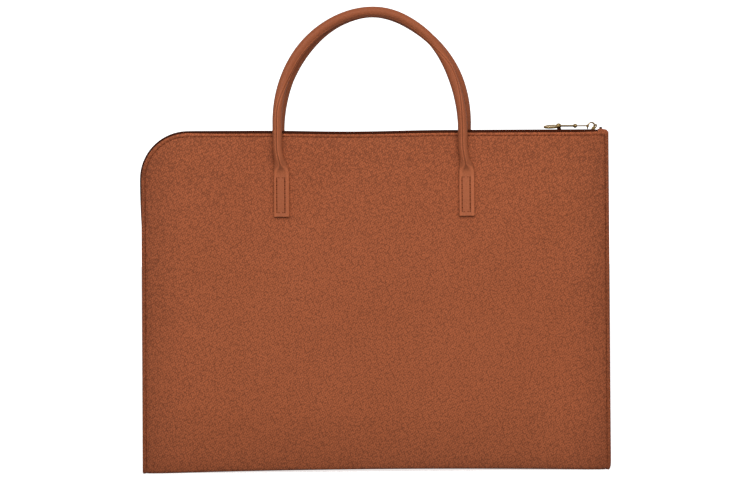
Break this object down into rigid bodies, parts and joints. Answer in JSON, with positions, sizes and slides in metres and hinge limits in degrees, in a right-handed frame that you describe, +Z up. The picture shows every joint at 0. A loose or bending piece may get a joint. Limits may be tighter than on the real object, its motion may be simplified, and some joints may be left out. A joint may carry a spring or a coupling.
{
  "type": "leather document case",
  "caption": "Slim leather document case, zipped over the top and one side, with two rolled handles and a long turned zip puller.",
  "frame": {"origin": "on the surface it stands on, under the middle of the folded base", "axes": "+Z up, the front panel faces -Y, +X to the right as seen from the front, where the closed zip ends"},
  "size_m": [0.3794, 0.0368, 0.3761],
  "materials": {
    "leather": "tan pebble-grained calf with a soft satin sheen",
    "handle_leather": "the same leather, rolled and stitched, a little smoother",
    "zip_tape": "dark brown woven zip tape",
    "zip_teeth": "darkened brass teeth",
    "gold": "polished gold-plated metal",
    "dark_metal": "dark lacquered metal"
  },
  "bodies": {
    "case": {"leather_body": "leather", "left_gusset": "leather", "right_gusset": "leather", "zip_end_cover": "leather", "zip_end_stop": "dark_metal", "zip_tape_front": "zip_tape", "zip_tape_back": "zip_tape", "zip_chain": "zip_teeth", "slider": "gold", "front_handle": "handle_leather", "back_handle": "handle_leather"},
    "pull": {"puller": "gold"}
  },
  "joints": [
    {"name": "puller_swing", "type": "hinge", "parent": "case", "child": "pull", "pos_m": [0.1794, 0, 0.2791], "axis": [0, 1, 0], "range_deg": [0, 160]}
  ]
}
